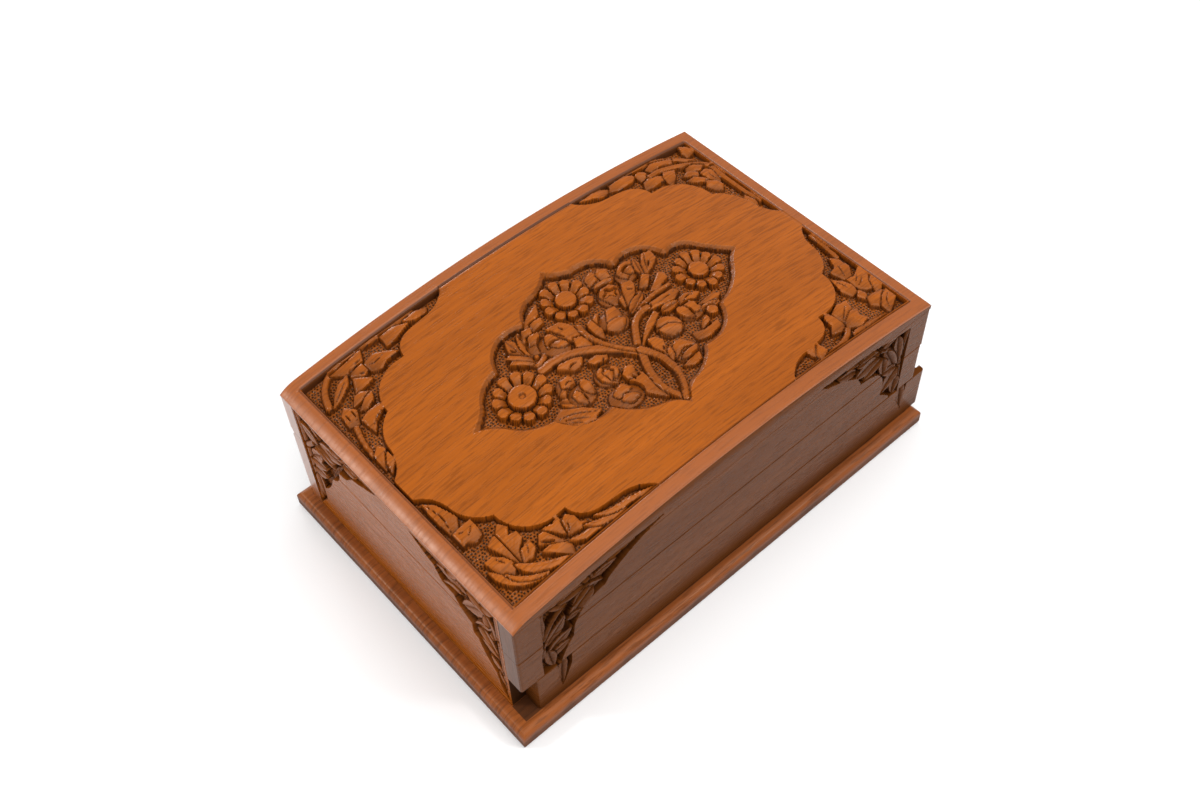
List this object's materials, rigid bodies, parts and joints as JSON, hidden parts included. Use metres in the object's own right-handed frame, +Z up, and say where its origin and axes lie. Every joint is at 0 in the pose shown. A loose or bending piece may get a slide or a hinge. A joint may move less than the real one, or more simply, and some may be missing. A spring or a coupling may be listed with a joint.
{
  "type": "carved wooden box",
  "caption": "Rectangular carved wooden box with an arched hinged lid, a flat rounded base board and a hidden sliding strip in its front that frees the lid.",
  "frame": {"origin": "centre of the base board's underside, the face that the box stands on", "axes": "+X along the box's long side, the way the front strip slides open; +Z up; the long front face looks along -Y"},
  "size_m": [0.2642, 0.1748, 0.1],
  "materials": {
    "walnut_top": "waxed, carved in relief, worn and slightly glossy",
    "walnut_side": "waxed, carved in relief, greyed by age",
    "walnut_plinth": "waxed, smooth",
    "plain_wood": "unpolished inner wood",
    "brass": "aged"
  },
  "bodies": {
    "tray": {"plinth": "walnut_plinth", "plinth_screws": "brass", "tray_left_wall": "walnut_side", "tray_right_wall": "walnut_side", "tray_back_wall": "walnut_side", "tray_front_rail": "walnut_side", "guide_pegs": "plain_wood", "left_hinge_lower_leaf": "brass", "right_hinge_lower_leaf": "brass", "left_hinge_pin": "brass", "right_hinge_pin": "brass", "tray_hinge_screws": "brass"},
    "panel": {"sliding_panel": "walnut_side", "keeper_block": "plain_wood"},
    "lid": {"lid_front_wall": "walnut_side", "lid_left_wall": "walnut_side", "lid_right_wall": "walnut_side", "lid_back_wall": "walnut_side", "lid_top_board": "walnut_top", "left_hinge_upper_leaf": "brass", "right_hinge_upper_leaf": "brass", "lid_hinge_screws": "brass", "catch_block": "plain_wood", "catch_hook": "brass", "catch_screws": "brass"}
  },
  "joints": [
    {"name": "lid_hinge", "type": "hinge", "parent": "tray", "child": "lid", "pos_m": [0, 0.0795, 0.0616], "axis": [-1, 0, 0], "range_deg": [0, 100]},
    {"name": "panel_slide", "type": "slide", "parent": "tray", "child": "panel", "axis": [1, 0, 0], "range_m": [-0.008, 0]}
  ]
}
